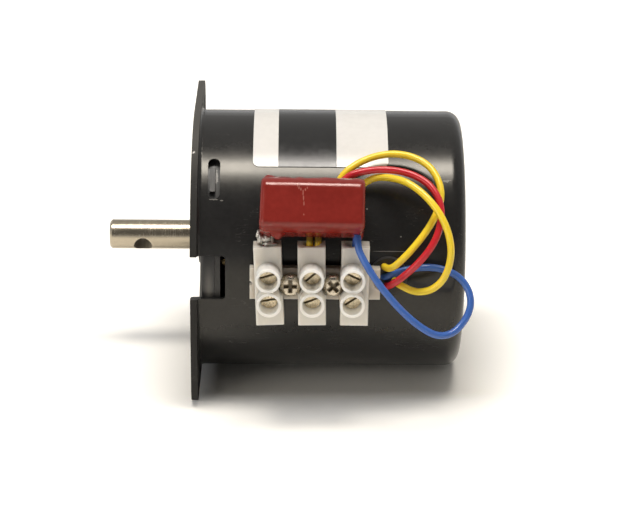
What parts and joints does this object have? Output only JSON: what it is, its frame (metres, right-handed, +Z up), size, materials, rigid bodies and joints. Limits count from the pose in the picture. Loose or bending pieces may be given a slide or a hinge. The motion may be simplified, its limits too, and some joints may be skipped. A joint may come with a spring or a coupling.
{
  "type": "geared synchronous motor",
  "caption": "Small reversible synchronous gear motor: drawn steel can, two-eared flange, offset output shaft with cross hole, screw terminal strip and film capacitor on the side.",
  "frame": {"origin": "centre of the mounting flange's front face, on the can's own axis", "axes": "+X along the can's axis from the flange to the closed rear end, so the shaft points to -X; +Z up with the motor lying on its side; -Y faces the terminal strip"},
  "size_m": [0.0843, 0.0748, 0.062],
  "materials": {
    "can_paint": "satin black stoved enamel",
    "black_steel": "black oxide with a thin lacquer",
    "plated_steel": "bright zinc plate",
    "turned_steel": "turned and oiled",
    "shaft_steel": "ground bright",
    "screw_steel": "nickel plate",
    "sintered_steel": "sintered and oiled",
    "pole_steel": "zinc plated pole sheet",
    "bronze": "oil-filled sintered bronze",
    "gear_brass": "machined",
    "insert_brass": "machined, lightly nickel plated",
    "bobbin_nylon": "moulded nylon",
    "gear_nylon": "moulded acetal",
    "coil_copper": "enamelled copper wire under varnish",
    "grommet_rubber": "soft black rubber",
    "strip_nylon": "natural nylon, slightly translucent",
    "capacitor_epoxy": "dipped epoxy, glossy",
    "leg_tin": "tinned wire",
    "label_film": "printed film, blank panels",
    "lead_yellow": "PVC insulation",
    "lead_red": "PVC insulation",
    "lead_blue": "PVC insulation",
    "ferrite": "ground ferrite"
  },
  "bodies": {
    "motor_body": {"motor_can": "can_paint", "front_cover": "black_steel", "gear_plate": "plated_steel", "partition_plate": "plated_steel", "plate_pillars": "turned_steel", "cover_screws": "plated_steel", "output_bush": "bronze", "journal_bush": "bronze", "idler_post_1": "turned_steel", "idler_post_2": "turned_steel", "post_sleeve_1": "gear_brass", "post_sleeve_2": "gear_brass", "rotor_front_bush": "bronze", "rotor_rear_bush": "bronze", "front_pole_cup": "pole_steel", "front_pole_plate": "pole_steel", "rear_pole_plate": "pole_steel", "rear_pole_cup": "pole_steel", "front_bobbin": "bobbin_nylon", "rear_bobbin": "bobbin_nylon", "front_coil": "coil_copper", "rear_coil": "coil_copper", "lead_grommet": "grommet_rubber", "terminal_strip": "strip_nylon", "terminal_insert_1": "insert_brass", "terminal_insert_2": "insert_brass", "terminal_insert_3": "insert_brass", "terminal_screws": "screw_steel", "strip_screws": "screw_steel", "capacitor": "capacitor_epoxy", "capacitor_legs": "leg_tin", "rating_label": "label_film", "lead_yellow_a": "lead_yellow", "lead_yellow_b": "lead_yellow", "lead_red": "lead_red", "lead_blue": "lead_blue"},
    "rotor": {"rotor_magnet": "ferrite", "rotor_hub": "bobbin_nylon", "rotor_spindle": "shaft_steel", "rotor_pinion": "gear_brass"},
    "idler_1": {"idler_1_wheel": "gear_nylon", "idler_1_pinion": "sintered_steel"},
    "idler_2": {"idler_2_wheel": "sintered_steel", "idler_2_pinion": "sintered_steel"},
    "output": {"output_shaft": "shaft_steel", "output_gear": "sintered_steel", "output_spacer": "gear_brass", "thrust_washer": "plated_steel"}
  },
  "joints": [
    {"name": "rotor_spin", "type": "hinge", "parent": "motor_body", "child": "rotor", "pos_m": [0, 0, 0], "axis": [1, 0, 0], "continuous": true},
    {"name": "idler_1_spin", "type": "hinge", "parent": "motor_body", "child": "idler_1", "pos_m": [0, -0.01027, -0.00218], "axis": [1, 0, 0], "continuous": true},
    {"name": "idler_2_spin", "type": "hinge", "parent": "motor_body", "child": "idler_2", "pos_m": [0, -0.00543, 0.01138], "axis": [1, 0, 0], "continuous": true},
    {"name": "output_spin", "type": "hinge", "parent": "motor_body", "child": "output", "pos_m": [0, 0.00951, -0.00309], "axis": [1, 0, 0], "continuous": true}
  ],
  "couplings": [
    {"joint": "idler_1_spin", "follows": "rotor_spin", "ratio": -0.4},
    {"joint": "idler_2_spin", "follows": "rotor_spin", "ratio": 0.13333},
    {"joint": "output_spin", "follows": "rotor_spin", "ratio": -0.04}
  ]
}
